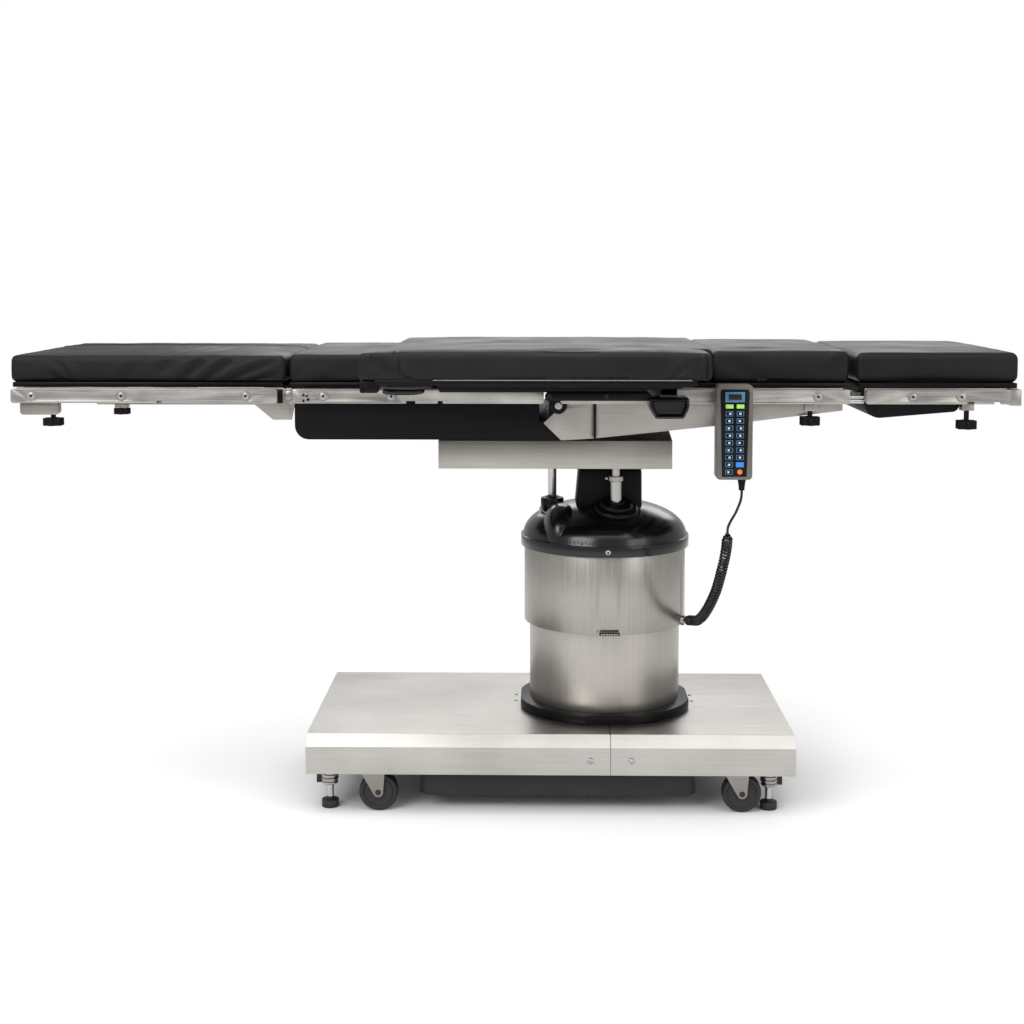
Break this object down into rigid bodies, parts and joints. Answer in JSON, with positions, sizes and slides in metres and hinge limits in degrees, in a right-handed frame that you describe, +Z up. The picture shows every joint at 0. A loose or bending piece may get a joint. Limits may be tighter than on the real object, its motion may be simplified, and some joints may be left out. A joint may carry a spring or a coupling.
{
  "type": "operating table",
  "caption": "Powered operating table with a sectioned padded top on a lifting, tilting column and a caster base with floor locks, an arm board and a corded hand control.",
  "frame": {"origin": "middle of the bounding box, on the floor", "axes": "+X towards the head end, +Z up, -Y the side with the arm board"},
  "size_m": [2, 0.727, 0.9433],
  "materials": {
    "stainless": "brushed, warm grey",
    "rail_steel": "satin",
    "rod_chrome": "polished",
    "machined_steel": "machined",
    "fork_steel": "satin",
    "dark_metal": "powder coat, dark grey",
    "caster_rubber": "matt",
    "boot_rubber": "matt",
    "dome_black": "glossy black",
    "black_plastic": "matt black",
    "black_metal": "satin black",
    "black_vinyl": "satin vinyl with fine grain",
    "handset_grey": "satin champagne grey",
    "keys": "dark blue keys",
    "cord_rubber": "satin"
  },
  "bodies": {
    "base": {"base_cover_foot": "stainless", "base_cover_head": "stainless", "base_frame": "dark_metal", "battery_box": "dark_metal", "column_collar": "boot_rubber", "lock_housings": "dark_metal", "column_tube": "machined_steel", "lower_shroud": "stainless"},
    "floor_locks": {"lock_feet": "caster_rubber"},
    "middle_stage": {"middle_shroud": "stainless"},
    "column_head": {"upper_shroud": "stainless", "dome_cover": "dome_black", "neck_cover": "black_plastic", "lift_mast": "machined_steel", "rod_boots": "boot_rubber", "pendant_cord": "cord_rubber", "pendant_coil": "cord_rubber"},
    "trend_rod": {"trend_rod": "rod_chrome"},
    "tilt_rod": {"tilt_rod": "rod_chrome"},
    "gimbal": {"gimbal_cross": "machined_steel"},
    "seat": {"saddle_cover": "stainless", "seat_frame": "machined_steel", "seat_tub": "black_plastic", "seat_rails": "rail_steel", "seat_deck": "black_metal", "seat_pad": "black_vinyl", "centre_pad_seat": "black_vinyl", "centre_pad_flex": "black_vinyl"},
    "back": {"back_frame": "stainless", "back_rails": "rail_steel", "back_deck": "black_metal", "back_pad": "black_vinyl", "centre_pad_back": "black_vinyl", "pendant_shell": "handset_grey", "pendant_keys": "keys"},
    "head": {"head_tray": "black_plastic", "head_frame": "stainless", "head_rails": "rail_steel", "head_pad": "black_vinyl"},
    "leg": {"leg_frame": "stainless", "leg_rails": "rail_steel", "leg_deck": "black_metal", "leg_pad": "black_vinyl"},
    "back_knob": {"back_knob": "black_plastic"},
    "head_knob": {"head_knob": "black_plastic"},
    "leg_knob_end": {"leg_knob_end": "black_plastic"},
    "leg_knob_mid": {"leg_knob_mid": "black_plastic"},
    "arm_clamp": {"arm_clamp": "black_metal"},
    "arm": {"arm_board": "black_metal", "arm_link": "black_metal", "arm_pad": "black_vinyl"},
    "arm_release": {"arm_release": "black_plastic"},
    "fork_a": {"caster_fork_a": "fork_steel"},
    "wheel_a": {"caster_wheel_a": "caster_rubber"},
    "fork_b": {"caster_fork_b": "fork_steel"},
    "wheel_b": {"caster_wheel_b": "caster_rubber"},
    "fork_c": {"caster_fork_c": "fork_steel"},
    "wheel_c": {"caster_wheel_c": "caster_rubber"},
    "fork_d": {"caster_fork_d": "fork_steel"},
    "wheel_d": {"caster_wheel_d": "caster_rubber"}
  },
  "joints": [
    {"name": "column_lift", "type": "slide", "parent": "base", "child": "column_head", "axis": [0, 0, 1], "range_m": [-0.14, 0.12]},
    {"name": "middle_lift", "type": "slide", "parent": "base", "child": "middle_stage", "axis": [0, 0, 1], "range_m": [-0.07, 0.06]},
    {"name": "floor_lock", "type": "slide", "parent": "base", "child": "floor_locks", "axis": [0, 0, 1], "range_m": [0, 0.012]},
    {"name": "swivel_a", "type": "hinge", "parent": "base", "child": "fork_a", "pos_m": [-0.286, -0.144, 0.06], "axis": [0, 0, 1], "continuous": true},
    {"name": "roll_a", "type": "hinge", "parent": "fork_a", "child": "wheel_a", "pos_m": [-0.274, -0.144, 0.04], "axis": [0, 1, 0], "continuous": true},
    {"name": "swivel_b", "type": "hinge", "parent": "base", "child": "fork_b", "pos_m": [-0.286, 0.288, 0.06], "axis": [0, 0, 1], "continuous": true},
    {"name": "roll_b", "type": "hinge", "parent": "fork_b", "child": "wheel_b", "pos_m": [-0.274, 0.288, 0.04], "axis": [0, 1, 0], "continuous": true},
    {"name": "swivel_c", "type": "hinge", "parent": "base", "child": "fork_c", "pos_m": [0.455, -0.144, 0.06], "axis": [0, 0, 1], "continuous": true},
    {"name": "roll_c", "type": "hinge", "parent": "fork_c", "child": "wheel_c", "pos_m": [0.467, -0.144, 0.04], "axis": [0, 1, 0], "continuous": true},
    {"name": "swivel_d", "type": "hinge", "parent": "base", "child": "fork_d", "pos_m": [0.455, 0.288, 0.06], "axis": [0, 0, 1], "continuous": true},
    {"name": "roll_d", "type": "hinge", "parent": "fork_d", "child": "wheel_d", "pos_m": [0.467, 0.288, 0.04], "axis": [0, 1, 0], "continuous": true},
    {"name": "trendelenburg", "type": "hinge", "parent": "column_head", "child": "gimbal", "pos_m": [0.195, 0.072, 0.714], "axis": [0, 1, 0], "range_deg": [-25, 25], "deforming": ["pendant_cord", "pendant_coil"]},
    {"name": "lateral_tilt", "type": "hinge", "parent": "gimbal", "child": "seat", "pos_m": [0.195, 0.072, 0.714], "axis": [1, 0, 0], "range_deg": [-18, 18], "deforming": ["pendant_cord", "pendant_coil"]},
    {"name": "trend_rod_slide", "type": "slide", "parent": "column_head", "child": "trend_rod", "axis": [0, 0, 1], "range_m": [-0.0495, 0.0495], "deforming": ["pendant_cord", "pendant_coil"]},
    {"name": "tilt_rod_slide", "type": "slide", "parent": "column_head", "child": "tilt_rod", "axis": [0, 0, 1], "range_m": [-0.0272, 0.0272], "deforming": ["pendant_cord", "pendant_coil"]},
    {"name": "back_lift", "type": "hinge", "parent": "seat", "child": "back", "pos_m": [0.0915, 0.072, 0.8355], "axis": [0, -1, 0], "range_deg": [-20, 60], "deforming": ["pendant_cord", "pendant_coil", "centre_pad_flex"]},
    {"name": "head_tilt", "type": "hinge", "parent": "back", "child": "head", "pos_m": [0.684, 0.072, 0.851], "axis": [0, -1, 0], "range_deg": [-60, 10]},
    {"name": "leg_lift", "type": "hinge", "parent": "seat", "child": "leg", "pos_m": [-0.442, 0.072, 0.8554], "axis": [0, -1, 0], "range_deg": [0, 90]},
    {"name": "back_knob_turn", "type": "hinge", "parent": "back", "child": "back_knob", "pos_m": [0.588, -0.1895, 0.8], "axis": [0, 0, 1], "continuous": true},
    {"name": "head_knob_turn", "type": "hinge", "parent": "head", "child": "head_knob", "pos_m": [0.896, -0.1895, 0.8], "axis": [0, 0, 1], "continuous": true},
    {"name": "leg_knob_end_turn", "type": "hinge", "parent": "leg", "child": "leg_knob_end", "pos_m": [-0.914, -0.1895, 0.8], "axis": [0, 0, 1], "continuous": true},
    {"name": "leg_knob_mid_turn", "type": "hinge", "parent": "leg", "child": "leg_knob_mid", "pos_m": [-0.776, -0.1895, 0.82], "axis": [0, 0, 1], "continuous": true},
    {"name": "arm_clamp_slide", "type": "slide", "parent": "back", "child": "arm_clamp", "axis": [1, 0, 0], "range_m": [-0.08, 0.04]},
    {"name": "arm_swing", "type": "hinge", "parent": "arm_clamp", "child": "arm", "pos_m": [0.304, -0.2635, 0.88], "axis": [0, 0, 1], "range_deg": [0, 94]},
    {"name": "arm_release_pull", "type": "slide", "parent": "arm", "child": "arm_release", "axis": [-1, 0, 0], "range_m": [0, 0.01], "stiffness_N_per_m": 1500, "springref_m": -0.002}
  ],
  "couplings": [
    {"joint": "middle_lift", "follows": "column_lift", "ratio": 0.5},
    {"joint": "trend_rod_slide", "follows": "trendelenburg", "m_per_rad": 0.113},
    {"joint": "tilt_rod_slide", "follows": "lateral_tilt", "m_per_rad": -0.086}
  ]
}
